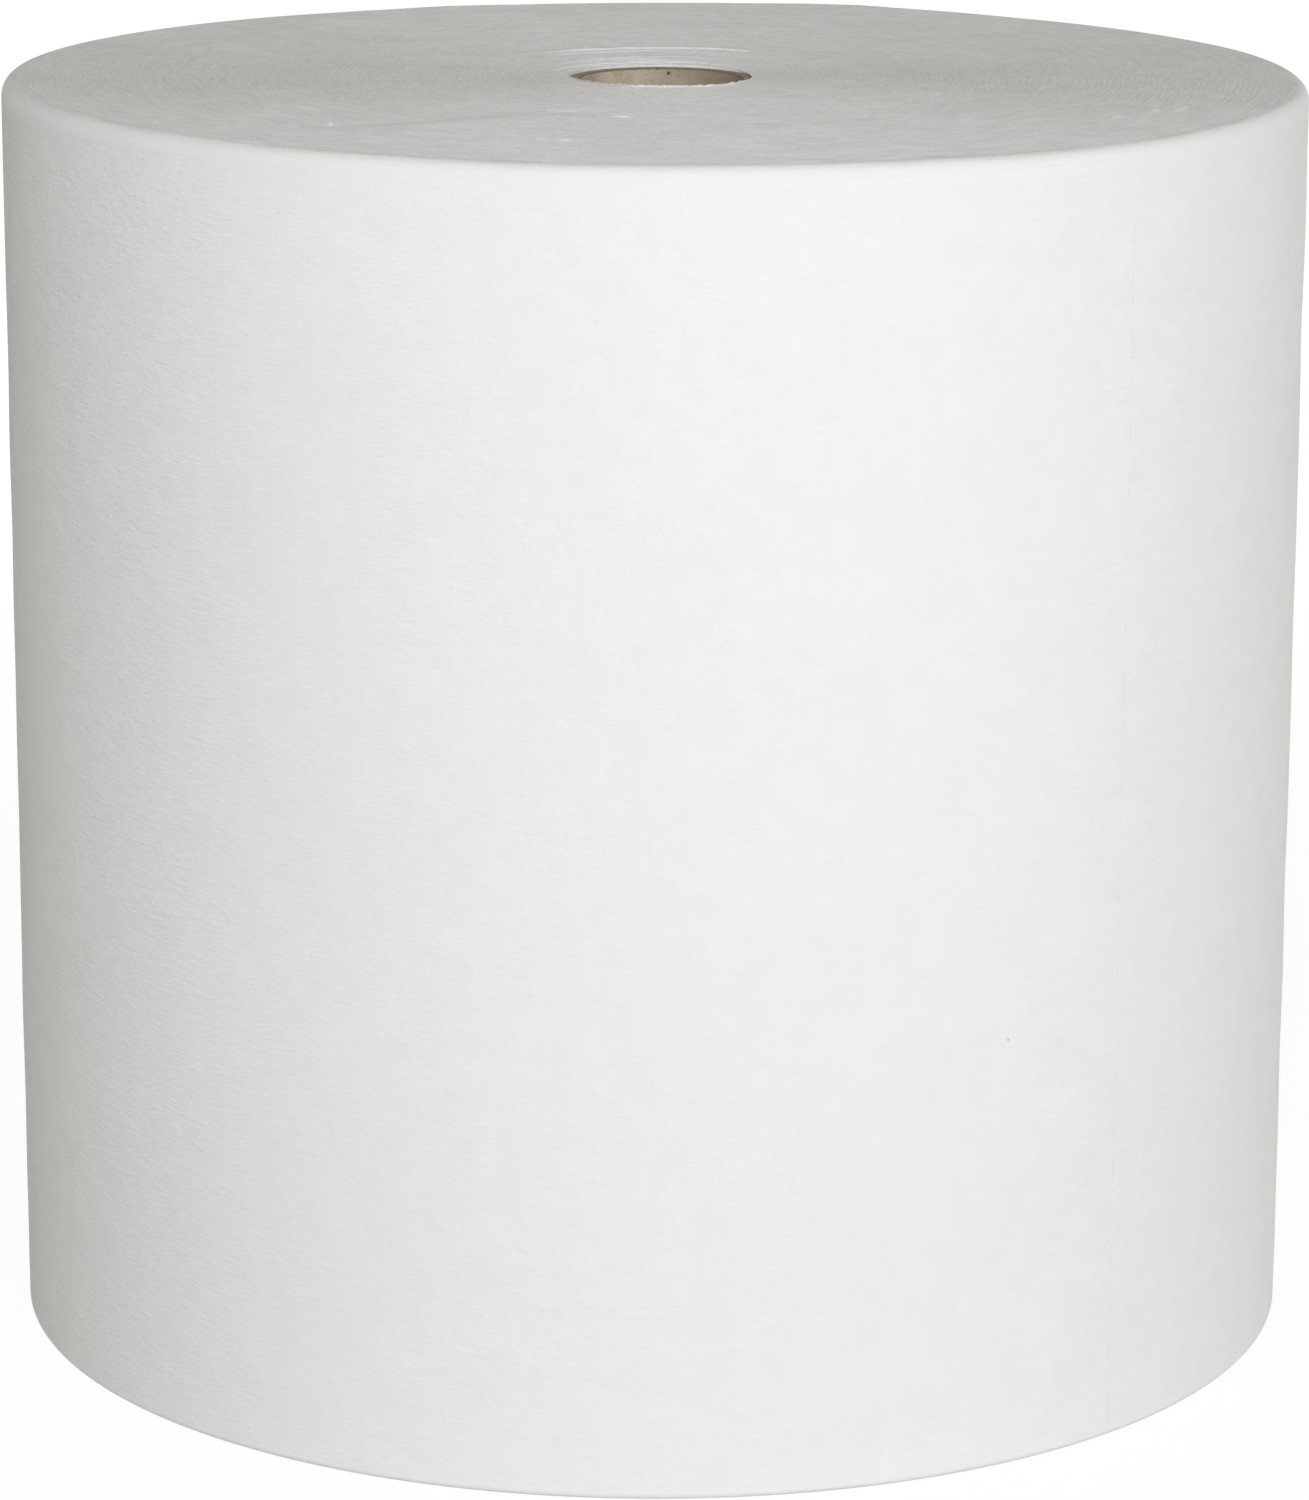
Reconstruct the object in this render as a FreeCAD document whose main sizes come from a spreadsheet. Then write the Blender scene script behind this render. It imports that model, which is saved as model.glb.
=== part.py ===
import FreeCAD, Part
import math
import os
import Sketcher

# A jumbo roll of nonwoven wipes, standing on one end.
# The web is wound tight on a spiral-wound paperboard tube, and its free end is a straight
# tail edge on the outside of the roll. All turns of the web are one solid, because they only
# come apart by being unwound.
# Frame: millimetres, +Z up along the roll's axis, origin on that axis at the face it stands on.

SIZES = (
    ("RollDiameter", 327.2, "outside of the wound web"),
    ("WebWidth", 317.5, "width of the web, which is the height of the standing roll"),
    ("TurnThickness", 0.22, "one layer of the web as wound"),
    ("TailAngle", 72.0, "where the tail edge lies, in degrees from +X"),
    ("RimRadius", 3.0, "soft rounding of the two outer rims"),
    ("CoreBore", 41.3, "inside diameter of the paperboard tube"),
    ("CoreWall", 2.5, "wall of the paperboard tube"),
    ("CoreFit", 0.0, "gap between the tube and the first turn, which is wound tight"),
    ("CoreOffset", 1.6, "how far uneven winding leaves the tube off the roll's axis, along +X"),
    ("HubDepth", 0.5, "how far the tube's upper end lies below the upper rim"),
    ("TerraceStep", 0.15, "height of each step down between two groups of turns"),
    ("LowerTurns", 36.0, "radial width of the turns around the tube that lie lower"),
    ("LowestTurns", 17.0, "radial width of the innermost group of those turns"),
    ("PlyWidth", 90.0, "width of the paperboard strip that the tube is wound from"),
    ("SeamWidth", 0.6, "gap between neighbouring edges of the inner ply"),
    ("SeamDepth", 0.45, "thickness of the inner ply"),
)

# How far a cutting profile reaches past the material that it cuts.
CUT_MARGIN = 2.0

# The sketcher's own numbers: its origin, its horizontal axis, and the points of an edge.
ORIGIN = (-1, 1)
FLOOR_AXIS = -1
START = 1
END = 2
CENTRE = 3

doc = FreeCAD.newDocument("wipe_roll")


# ---- the driving dimensions ----------------------------------------------------------------

def make_sheet():
    """The driving dimensions, one to a row: name, value and meaning."""
    new_sheet = doc.addObject("Spreadsheet::Sheet", "sizes")
    for row, (alias, value, meaning) in enumerate(SIZES, start=1):
        new_sheet.set(f"A{row}", alias)
        new_sheet.set(f"B{row}", str(value))
        new_sheet.set(f"C{row}", meaning)
        new_sheet.setAlias(f"B{row}", alias)
    doc.recompute()
    return new_sheet


sheet = make_sheet()


def size(formula):
    """The present value of a formula on the sheet's names."""
    return float(sheet.evalExpression(formula.replace("sizes.", "")))


# ---- sketches --------------------------------------------------------------------------------

def origin_feature(body, role):
    """One of the body's own origin planes or axes."""
    for feature in body.Origin.OriginFeatures:
        if feature.Role == role:
            return feature
    raise LookupError(role)


def new_sketch(body, name, plane):
    """An empty sketch on one of the body's own origin planes."""
    sketch = body.newObject("Sketcher::SketchObject", name)
    sketch.AttachmentSupport = [(origin_feature(body, plane), "")]
    sketch.MapMode = "FlatFace"
    return sketch


def constrain(sketch, kind, *where):
    """A geometric constraint of a sketch."""
    sketch.addConstraint(Sketcher.Constraint(kind, *where))


def dimension(sketch, kind, where, name, formula):
    """A named dimension of a sketch, driven by a formula on the sheet."""
    index = sketch.addConstraint(Sketcher.Constraint(kind, *where, size(formula)))
    sketch.renameConstraint(index, name)
    sketch.setExpression(f"Constraints.{name}", formula)


def stepped_outline(sketch, corners):
    """A closed outline whose corners each have their own pair of dimensions.

    Each corner is a name and two formulas, across and up from the sketch's origin.
    """
    points = [FreeCAD.Vector(size(across), size(up), 0) for _, across, up in corners]
    count = len(points)
    edges = [Part.LineSegment(points[i], points[(i + 1) % count]) for i in range(count)]
    sketch.addGeometry(edges, False)
    for i, (name, across, up) in enumerate(corners):
        constrain(sketch, "Coincident", i, END, (i + 1) % count, START)
        dimension(sketch, "DistanceX", (*ORIGIN, i, START), name + "Across", across)
        dimension(sketch, "DistanceY", (*ORIGIN, i, START), name + "Up", up)


def turning_axis(sketch, across, top):
    """An upright construction line, the axis of a revolved feature."""
    foot = FreeCAD.Vector(size(across), 0, 0)
    head = FreeCAD.Vector(size(across), size(top), 0)
    axis = sketch.addGeometry(Part.LineSegment(foot, head), True)
    constrain(sketch, "Vertical", axis)
    constrain(sketch, "PointOnObject", axis, START, FLOOR_AXIS)
    dimension(sketch, "DistanceX", (*ORIGIN, axis, START), "AxisAcross", across)
    dimension(sketch, "DistanceY", (axis, START, axis, END), "AxisLength", top)


# ---- wound_web: all turns of the web ---------------------------------------------------------

def half_turn(body, name, axis_shift, radius, clockwise):
    """Half of the roll, up to half of its outer turn.

    A spiral's turn is two half circles with centres half a turn's thickness apart, so each half
    swings the same rounded section about its own axis. They meet flush opposite the tail, and
    at the tail the upper half stands one thickness proud of the lower one.
    """
    sketch = new_sketch(body, name + "_section", "XZ_Plane")
    to_tail = FreeCAD.Rotation(FreeCAD.Vector(0, 1, 0), size("sizes.TailAngle"))
    sketch.AttachmentOffset = FreeCAD.Placement(FreeCAD.Vector(), to_tail)
    sketch.setExpression("AttachmentOffset.Rotation.Angle", "sizes.TailAngle")

    middle = size(axis_shift)
    side = middle + size(radius)
    top = size("sizes.WebWidth")
    rim = size("sizes.RimRadius")
    lower_rim = Part.Circle(FreeCAD.Vector(side - rim, rim, 0), FreeCAD.Vector(0, 0, 1), rim)
    upper_rim = Part.Circle(FreeCAD.Vector(side - rim, top - rim, 0), FreeCAD.Vector(0, 0, 1), rim)
    foot = FreeCAD.Vector(middle, 0, 0)
    head = FreeCAD.Vector(middle, top, 0)
    bottom_edge, lower_arc, side_edge, upper_arc, top_edge, inner_edge = sketch.addGeometry([
        Part.LineSegment(foot, FreeCAD.Vector(side - rim, 0, 0)),
        Part.ArcOfCircle(lower_rim, -math.pi / 2, 0),
        Part.LineSegment(FreeCAD.Vector(side, rim, 0), FreeCAD.Vector(side, top - rim, 0)),
        Part.ArcOfCircle(upper_rim, 0, math.pi / 2),
        Part.LineSegment(FreeCAD.Vector(side - rim, top, 0), head),
        Part.LineSegment(head, foot),
    ], False)
    constrain(sketch, "Tangent", bottom_edge, END, lower_arc, START)
    constrain(sketch, "Tangent", lower_arc, END, side_edge, START)
    constrain(sketch, "Tangent", side_edge, END, upper_arc, START)
    constrain(sketch, "Tangent", upper_arc, END, top_edge, START)
    constrain(sketch, "Coincident", top_edge, END, inner_edge, START)
    constrain(sketch, "Coincident", inner_edge, END, bottom_edge, START)
    constrain(sketch, "Horizontal", bottom_edge)
    constrain(sketch, "Horizontal", top_edge)
    constrain(sketch, "Vertical", inner_edge)
    constrain(sketch, "Equal", lower_arc, upper_arc)
    constrain(sketch, "PointOnObject", inner_edge, END, FLOOR_AXIS)
    dimension(sketch, "DistanceX", (*ORIGIN, inner_edge, END), "Middle", axis_shift)
    dimension(sketch, "DistanceY", (inner_edge, END, inner_edge, START), "Height", "sizes.WebWidth")
    dimension(sketch, "DistanceX", (inner_edge, START, side_edge, START), "Radius", radius)
    dimension(sketch, "Radius", (lower_arc,), "Rim", "sizes.RimRadius")
    turning_axis(sketch, axis_shift, "sizes.WebWidth")

    turn = body.newObject("PartDesign::Revolution", name)
    turn.Profile = sketch
    turn.ReferenceAxis = (sketch, ["Axis0"])
    turn.Angle = 180
    turn.Reversed = clockwise
    doc.recompute()


def lower_inner_turns(body):
    """The turns around the tube, which lie lower in two level terraces."""
    tube = "(sizes.CoreBore / 2 + sizes.CoreWall + sizes.CoreFit)"
    inner_wall = f"sizes.CoreOffset + {tube} + sizes.LowestTurns"
    outer_wall = f"sizes.CoreOffset + {tube} + sizes.LowerTurns"
    clear = f"sizes.WebWidth + {CUT_MARGIN}"
    sketch = new_sketch(body, "terraces_section", "XZ_Plane")
    stepped_outline(sketch, (
        ("Clear", "sizes.CoreOffset", clear),
        ("Outside", outer_wall, clear),
        ("OuterStep", outer_wall, "sizes.WebWidth - sizes.TerraceStep"),
        ("InnerEdge", inner_wall, "sizes.WebWidth - sizes.TerraceStep"),
        ("InnerStep", inner_wall, "sizes.WebWidth - 2 * sizes.TerraceStep"),
        ("Middle", "sizes.CoreOffset", "sizes.WebWidth - 2 * sizes.TerraceStep"),
    ))
    turning_axis(sketch, "sizes.CoreOffset", "sizes.WebWidth")
    terraces = body.newObject("PartDesign::Groove", "terraces")
    terraces.Profile = sketch
    terraces.ReferenceAxis = (sketch, ["Axis0"])
    terraces.Angle = 360
    doc.recompute()


def core_hole(body):
    """The space that the tube fills, right through the roll."""
    sketch = new_sketch(body, "core_hole_outline", "XY_Plane")
    radius = "sizes.CoreBore / 2 + sizes.CoreWall + sizes.CoreFit"
    centre = FreeCAD.Vector(size("sizes.CoreOffset"), 0, 0)
    hole = sketch.addGeometry(Part.Circle(centre, FreeCAD.Vector(0, 0, 1), size(radius)), False)
    constrain(sketch, "PointOnObject", hole, CENTRE, FLOOR_AXIS)
    dimension(sketch, "DistanceX", (*ORIGIN, hole, CENTRE), "Offset", "sizes.CoreOffset")
    dimension(sketch, "Radius", (hole,), "Tube", radius)
    pocket = body.newObject("PartDesign::Pocket", "core_hole")
    pocket.Profile = sketch
    pocket.Type = "ThroughAll"
    pocket.Reversed = True
    doc.recompute()


def make_wound_web():
    body = doc.addObject("PartDesign::Body", "wound_web")
    quarter = "sizes.TurnThickness / 4"
    half = "sizes.TurnThickness / 2"
    half_turn(body, "turn_over_tail", quarter, f"sizes.RollDiameter / 2 + {half}", True)
    half_turn(body, "turn_under_tail", f"-{quarter}", "sizes.RollDiameter / 2", False)
    lower_inner_turns(body)
    core_hole(body)
    return body


# ---- core_tube: the paperboard tube ----------------------------------------------------------

def tube_wall(body):
    """The tube as cut to length: its upper end lies a little below the web's first turn."""
    sketch = new_sketch(body, "wall_outline", "XY_Plane")
    circles = (("Bore", "sizes.CoreBore / 2"), ("Outside", "sizes.CoreBore / 2 + sizes.CoreWall"))
    for name, radius in circles:
        circle = Part.Circle(FreeCAD.Vector(), FreeCAD.Vector(0, 0, 1), size(radius))
        ring = sketch.addGeometry(circle, False)
        constrain(sketch, "Coincident", ring, CENTRE, *ORIGIN)
        dimension(sketch, "Radius", (ring,), name, radius)
    wall = body.newObject("PartDesign::Pad", "wall")
    wall.Profile = sketch
    wall.setExpression("Length", "sizes.WebWidth - sizes.HubDepth")
    doc.recompute()


def ply_seam(body):
    """The seam of the inner ply: a shallow helical gap from one end of the bore to the other.

    Unrolled, the bore is a strip as wide as its circumference, and the paperboard crosses it
    at the slant at which its edges just meet after one turn. That slant gives the pitch.
    """
    slant = "asin(sizes.PlyWidth / (pi * sizes.CoreBore))"
    gap = f"(sizes.SeamWidth / cos({slant}))"
    bore = "sizes.CoreBore / 2"
    sketch = new_sketch(body, "seam_section", "XZ_Plane")
    stepped_outline(sketch, (
        ("LowInside", f"{bore} - {CUT_MARGIN}", f"-{CUT_MARGIN} - {gap}"),
        ("LowWall", f"{bore} + sizes.SeamDepth", f"-{CUT_MARGIN} - {gap}"),
        ("HighWall", f"{bore} + sizes.SeamDepth", f"-{CUT_MARGIN}"),
        ("HighInside", f"{bore} - {CUT_MARGIN}", f"-{CUT_MARGIN}"),
    ))
    seam = body.newObject("PartDesign::SubtractiveHelix", "ply_seam")
    seam.Profile = sketch
    seam.ReferenceAxis = (origin_feature(body, "Z_Axis"), [""])
    seam.Mode = "pitch-height-angle"
    seam.setExpression("Pitch", f"sizes.PlyWidth / cos({slant})")
    seam.setExpression("Height", f"sizes.WebWidth + {2 * CUT_MARGIN} + {gap}")
    doc.recompute()


def make_core_tube():
    body = doc.addObject("PartDesign::Body", "core_tube")
    tube_wall(body)
    ply_seam(body)
    body.setExpression("Placement.Base.x", "sizes.CoreOffset")
    return body


# ---- build, check and write ------------------------------------------------------------------

def check(bodies):
    """Stop if any feature failed or any sub-part is not one valid solid."""
    for item in doc.Objects:
        if "Invalid" in item.State or "Error" in item.State:
            raise RuntimeError(f"{item.Name} failed: {item.State}")
    for body in bodies:
        shape = body.Shape
        if shape.isNull() or not shape.isValid() or len(shape.Solids) != 1:
            raise RuntimeError(f"{body.Label} is not one valid solid")


def main():
    bodies = [make_wound_web(), make_core_tube()]
    doc.recompute()
    check(bodies)
    os.makedirs("parts", exist_ok=True)
    for body in bodies:
        body.Shape.exportStep(f"parts/{body.Label}.step")
        print(body.Label, round(body.Shape.Volume), body.Shape.BoundBox)


main()
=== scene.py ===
import math
import bmesh
import bpy
import numpy as np
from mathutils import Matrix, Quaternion, Vector


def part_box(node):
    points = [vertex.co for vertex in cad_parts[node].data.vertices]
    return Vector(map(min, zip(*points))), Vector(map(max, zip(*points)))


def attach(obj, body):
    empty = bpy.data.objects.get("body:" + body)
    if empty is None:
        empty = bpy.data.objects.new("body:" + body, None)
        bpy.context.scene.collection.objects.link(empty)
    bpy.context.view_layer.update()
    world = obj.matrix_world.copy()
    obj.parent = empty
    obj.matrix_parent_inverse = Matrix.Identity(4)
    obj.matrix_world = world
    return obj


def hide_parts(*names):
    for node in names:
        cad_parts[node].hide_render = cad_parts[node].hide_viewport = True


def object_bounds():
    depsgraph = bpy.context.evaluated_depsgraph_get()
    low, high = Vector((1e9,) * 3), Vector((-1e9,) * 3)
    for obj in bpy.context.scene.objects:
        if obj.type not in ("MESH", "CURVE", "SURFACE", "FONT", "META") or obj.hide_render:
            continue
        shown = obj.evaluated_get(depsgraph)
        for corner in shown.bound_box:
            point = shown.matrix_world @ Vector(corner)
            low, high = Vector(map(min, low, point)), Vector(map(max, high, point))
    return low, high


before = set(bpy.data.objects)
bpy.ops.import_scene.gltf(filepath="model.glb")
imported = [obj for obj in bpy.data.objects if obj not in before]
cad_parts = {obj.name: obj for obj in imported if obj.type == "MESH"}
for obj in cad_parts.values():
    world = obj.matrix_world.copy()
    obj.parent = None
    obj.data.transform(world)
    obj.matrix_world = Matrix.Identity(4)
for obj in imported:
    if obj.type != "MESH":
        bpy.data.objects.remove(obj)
cad_low, cad_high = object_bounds()
mm = 0.001


# ---- core tube ---------------------------------------------------------------------------------
# The paperboard tube that the web is wound on: plies of grey-brown board glued in a spiral and cut
# to length, a little short of the turns. The inner ply's edges leave a helical seam in the bore.
# The cut ends are grey and fibrous, with the layers as fine rings.

tube_low, tube_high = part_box("core_tube")
tube_radius = (tube_high.x - tube_low.x) / 2
tube_centre = (tube_high.x + tube_low.x) / 2
tube_top = tube_high.z
BOARD_WALL = 2.5 * mm
PLIES = 5
PLY_WIDTH = 90 * mm
SEAM_WIDTH = 0.6 * mm
SEAM_DEPTH = 0.45 * mm
SEAM_PROFILE = ((-0.5, 0.0), (-0.47, 1.0), (0.47, 1.0), (0.5, 0.0))
PLY_PROFILE = ((0.0, 1.0), (0.18, 0.2), (0.5, 0.0), (0.82, 0.3))
TOP_ROUGHNESS = 0.06 * mm
FOOT_ROUGHNESS = 0.05 * mm
TUBE_COLUMNS = 200
PLY_ROWS = 16
WELD = 0.002 * mm

# The material. A pair of colours is for the darkest and the lightest fibres, and a pair of other
# numbers is where a blend starts and where it ends.
BOARD_COLOURS = ((0.53, 0.435, 0.33), (0.725, 0.63, 0.50))
CUT_BOARD_COLOURS = ((0.19, 0.16, 0.125), (0.37, 0.32, 0.26))
SPECK_COLOUR = (0.13, 0.09, 0.06)
SPECK_NOISE = (0.74, 0.8)
GLUE_COLOUR = (0.14, 0.11, 0.085)
BOARD_NOISE = (0.35, 0.65)
BOARD_BUMP = 0.08 * mm
FLECK = (3.4 * mm, 20.4 * mm, tube_top - 1.3 * mm)
FLECK_EDGE = (0.32 * mm, 0.62 * mm)
FLECK_COLOUR = (0.03, 0.02, 0.015)
# Painted shade: across x, from the first place to the second, the board darkens towards the right of
# the tube, where the bore lies in shade.
PAINTED_SHADE_EDGE = (-14 * mm, 19 * mm)
PAINTED_SHADE_COLOUR = (0.27, 0.21, 0.145)

bore_radius = tube_radius - BOARD_WALL
seam_slant = math.asin(PLY_WIDTH / (2 * math.pi * bore_radius))
seam_pitch = PLY_WIDTH / math.cos(seam_slant)
seam_gap = SEAM_WIDTH / math.cos(seam_slant)


def random_waves(seed, count, shortest, longest):
    """Flat waves in random directions: their numbers across and up, and their phases."""
    chance = np.random.default_rng(seed)
    number = 2 * np.pi / (shortest * (longest / shortest) ** chance.random(count))
    heading = chance.random(count) * 2 * np.pi
    return number * np.cos(heading), number * np.sin(heading), chance.random(count) * 2 * np.pi


def waviness(waves, across, up):
    """The sum of the waves at each point, which mostly lies between -1.5 and 1.5."""
    across, up = np.broadcast_arrays(across, up)
    total = np.zeros(across.shape)
    for number_across, number_up, phase in zip(*waves):
        total += np.cos(number_across * across + number_up * up + phase)
    return total / math.sqrt(len(waves[0]) / 2)


def ring_points(radius, angle, height, centre_x):
    """Points on rings about an upright axis, as rows of columns."""
    radius, angle, height, centre_x = np.broadcast_arrays(radius, angle, height, centre_x)
    return np.stack([centre_x + radius * np.cos(angle), radius * np.sin(angle), height], axis=-1)


def welded_piece(name, patches, materials, sharp_angle):
    """One mesh from grids of points, welded where they meet.

    Each grid comes with the number of its material, or with a list of one for each row.
    """
    shape = bmesh.new()
    for points, finish in patches:
        rows, columns = points.shape[:2]
        corners = [shape.verts.new(point) for point in points.reshape(-1, 3).tolist()]
        for row in range(rows - 1):
            strip = finish[row] if isinstance(finish, list) else finish
            for column in range(columns - 1):
                first = row * columns + column
                face = shape.faces.new((
                    corners[first], corners[first + 1],
                    corners[first + columns + 1], corners[first + columns],
                ))
                face.material_index = strip
                face.smooth = True
    bmesh.ops.remove_doubles(shape, verts=shape.verts, dist=WELD)
    bmesh.ops.recalc_face_normals(shape, faces=shape.faces)
    mesh = bpy.data.meshes.new(name)
    shape.to_mesh(mesh)
    shape.free()
    mesh.set_sharp_from_angle(angle=math.radians(sharp_angle))
    for material in materials:
        mesh.materials.append(material)
    piece = bpy.data.objects.new(name, mesh)
    bpy.context.scene.collection.objects.link(piece)
    return piece


def node(tree, kind, values=None, **settings):
    """One shader node. Settings are its own fields, and values its inputs: constants or links."""
    made = tree.nodes.new("ShaderNode" + kind)
    for name, setting in settings.items():
        setattr(made, name, setting)
    for name, value in (values or {}).items():
        if isinstance(value, bpy.types.NodeSocket):
            tree.links.new(value, made.inputs[name])
        else:
            made.inputs[name].default_value = value
    return made


def calc(tree, operation, *values):
    """One step of arithmetic in a shader."""
    return node(tree, "Math", dict(enumerate(values)), operation=operation).outputs[0]


def weighted(tree, *parts):
    """The sum of some values, each times its weight."""
    total = calc(tree, "MULTIPLY", *parts[0])
    for value, weight in parts[1:]:
        total = calc(tree, "MULTIPLY_ADD", value, weight, total)
    return total


def grain(tree, where, size, detail=2.0, roughness=0.5):
    """Noise with a grain of this many metres in x, y and z, from about 0.25 to 0.75."""
    stretched = node(tree, "Mapping", {"Vector": where, "Scale": [1 / length for length in size]})
    noise = node(tree, "TexNoise", {
        "Vector": stretched.outputs[0], "Scale": 1.0, "Detail": detail, "Roughness": roughness,
    })
    return noise.outputs["Fac"]


def spread(tree, value, low, high, start=0.0, end=1.0):
    """The value mapped from low..high to start..end, smoothly and held at both ends."""
    made = node(tree, "MapRange", {
        "Value": value, "From Min": low, "From Max": high, "To Min": start, "To Max": end,
    }, interpolation_type="SMOOTHSTEP")
    return made.outputs[0]


def blend_colours(tree, factor, first, second):
    """A mix of two colours, which are inputs 6 and 7 of its node and give output 2."""
    made = node(tree, "Mix", {"Factor": factor}, data_type="RGBA")
    for number, colour in ((6, first), (7, second)):
        if isinstance(colour, bpy.types.NodeSocket):
            tree.links.new(colour, made.inputs[number])
        else:
            made.inputs[number].default_value = (*colour, 1.0)
    return made.outputs[2]


def new_material(name):
    """A material with an empty node tree, and that tree."""
    material = bpy.data.materials.new(name)
    material.use_nodes = True
    material.node_tree.nodes.clear()
    return material, material.node_tree


def finish_surface(tree, colour, roughness, height, bump_distance, sheen, specular):
    """The shader itself, with a bump whose height of 0 to 1 stands for bump_distance."""
    bump = node(tree, "Bump", {"Height": height, "Strength": 1.0, "Distance": bump_distance})
    surface = node(tree, "BsdfPrincipled", {
        "Base Color": colour, "Roughness": roughness, "Normal": bump.outputs[0],
        "Sheen Weight": sheen, "Sheen Roughness": 0.5, "Specular IOR Level": specular,
    })
    node(tree, "OutputMaterial", {"Surface": surface.outputs[0]})


def make_paperboard():
    """Grey-brown recycled board: cloudy, with short fibres, dark specks and grey cut ends, and painted
    shade that darkens it towards the right.
    """
    material, tree = new_material("paperboard")
    where = node(tree, "TexCoord").outputs["Object"]
    clouds = grain(tree, where, (7 * mm, 7 * mm, 7 * mm), detail=3.0)
    fibres = grain(tree, where, (0.8 * mm, 0.8 * mm, 0.25 * mm), detail=3.0, roughness=0.6)
    tone = weighted(tree, (clouds, 0.55), (fibres, 0.45))
    colour = blend_colours(tree, spread(tree, tone, *BOARD_NOISE), *BOARD_COLOURS)
    specks = grain(tree, where, (0.55 * mm, 0.55 * mm, 0.45 * mm), detail=0.0)
    specked = spread(tree, specks, *SPECK_NOISE, 0.0, 0.7)
    colour = blend_colours(tree, specked, colour, SPECK_COLOUR)
    to_fleck = node(tree, "VectorMath", {0: where, 1: FLECK}, operation="DISTANCE").outputs["Value"]
    on_fleck = spread(tree, to_fleck, *FLECK_EDGE, 1.0, 0.0)
    colour = blend_colours(tree, on_fleck, colour, FLECK_COLOUR)
    centred = node(tree, "VectorMath", {0: where, 1: (tube_centre, 0.0, 0.0)}, operation="SUBTRACT")
    axes = node(tree, "SeparateXYZ", {0: centred.outputs[0]})
    flat = node(tree, "CombineXYZ", {0: axes.outputs[0], 1: axes.outputs[1]})
    radius = node(tree, "VectorMath", {0: flat.outputs[0]}, operation="LENGTH").outputs["Value"]
    layers = calc(tree, "MULTIPLY", calc(tree, "SUBTRACT", radius, bore_radius), PLIES / BOARD_WALL)
    across_layer = calc(tree, "PINGPONG", layers, 0.5)
    glue_line = spread(tree, across_layer, 0.0, 0.12, 1.0, 0.0)
    # Painted shade: the tube's colour darkens towards its right.
    painted_shade = spread(tree, axes.outputs[0], *PAINTED_SHADE_EDGE, 0.0, 0.75)
    colour = blend_colours(tree, painted_shade, colour, PAINTED_SHADE_COLOUR)
    on_cut_end = spread(tree, axes.outputs[2], tube_top - 0.45 * mm, tube_top - 0.2 * mm)
    greyed = blend_colours(tree, spread(tree, fibres, *BOARD_NOISE), *CUT_BOARD_COLOURS)
    colour = blend_colours(tree, on_cut_end, colour, greyed)
    glued = calc(tree, "MULTIPLY", glue_line, calc(tree, "MULTIPLY", on_cut_end, 0.4))
    colour = blend_colours(tree, glued, colour, GLUE_COLOUR)
    roughness = spread(tree, clouds, 0.3, 0.7, 0.82, 0.95)
    finish_surface(tree, colour, roughness, fibres, BOARD_BUMP, sheen=0.0, specular=0.3)
    return material


paperboard = make_paperboard()
tube_angle = np.linspace(0, 2 * np.pi, TUBE_COLUMNS + 1)


def bore_patch():
    """The bore, with rows that follow the seam and stop at the cut ends."""
    heights = []
    depths = []
    for turn in range(-2, math.ceil(tube_top / seam_pitch) + 1):
        seam = seam_pitch * (tube_angle / (2 * np.pi) + turn)
        for offset in np.linspace(seam_gap * 0.75, seam_pitch - seam_gap * 0.75, PLY_ROWS):
            heights.append(seam + offset)
            depths.append(0.0)
        for offset, depth in SEAM_PROFILE:
            heights.append(seam + seam_pitch + offset * seam_gap)
            depths.append(depth * SEAM_DEPTH)
    heights = np.array(heights)
    inside = (heights > 0) & (heights < tube_top)
    radius = bore_radius + np.array(depths)[:, None] * inside
    return ring_points(radius, tube_angle, heights.clip(0, tube_top), tube_centre)


def cut_end_patch(height, roughness):
    """A cut end of the tube, from the bore to the outside, one fine ridge to a ply."""
    ragged = random_waves(seed=11, count=40, shortest=0.9 * mm, longest=7 * mm)
    rows = []
    for ply in range(PLIES):
        for part, dip in PLY_PROFILE:
            rows.append(((ply + part) / PLIES, dip))
    rows.append((1.0, 1.0))
    share, dip = np.array(rows).T[:, :, None]
    radius = bore_radius + share * BOARD_WALL
    fibres = waviness(ragged, radius * np.cos(tube_angle), radius * np.sin(tube_angle))
    inner = (share > 0) & (share < 1)
    low = np.where(inner, roughness * (dip + 0.6 * np.abs(fibres)), 0.0)
    inward = -1 if height > 0 else 1
    return ring_points(radius, tube_angle, height + inward * low, tube_centre)


wall_patch = ring_points(tube_radius, tube_angle, np.array([[0.0], [tube_top]]), tube_centre)
core_tube = welded_piece("core_tube_board", [
    (bore_patch(), 0),
    (cut_end_patch(tube_top, TOP_ROUGHNESS), 0),
    (wall_patch, 0),
    (cut_end_patch(0.0, FOOT_ROUGHNESS), 0),
], [paperboard], sharp_angle=35)
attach(core_tube, "root")
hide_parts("core_tube")


# ---- wound turns -------------------------------------------------------------------------------
# Some 640 turns of white nonwoven wound tight on the tube, all but the last as one body. Its two
# ends are the cut edges of the turns: bundles of them stand a little higher or lower, the turns
# round the tube lie lower in two terraces, and the outer rims are rounded off.

web_low, web_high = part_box("wound_web")
roll_height = web_high.z
roll_radius = (web_high.x - web_low.x + web_high.y - web_low.y) / 4
TURN = 0.22 * mm
RIM = 3.5 * mm
FOOT_RIM = 1.6 * mm
TAIL_ANGLE = math.radians(72)
SHEETS = 3
SHEET_LENGTH = 340 * mm
OUTER_TERRACE = tube_radius + 36 * mm
INNER_TERRACE = tube_radius + 17 * mm
TERRACE_STEP = 0.15 * mm
TERRACE_TILT = 0.25
DRAWN_AT_TUBE = 0.25
RIDGE_SLOPE = 0.29
SCALLOP = 0.26 * mm
UNEVEN = 0.004 * mm
FUZZ = 0.005 * mm
SAG = 0.10 * mm
FOOT_SLOPE = 0.05
FOOT_UNEVEN = 0.02 * mm

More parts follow.
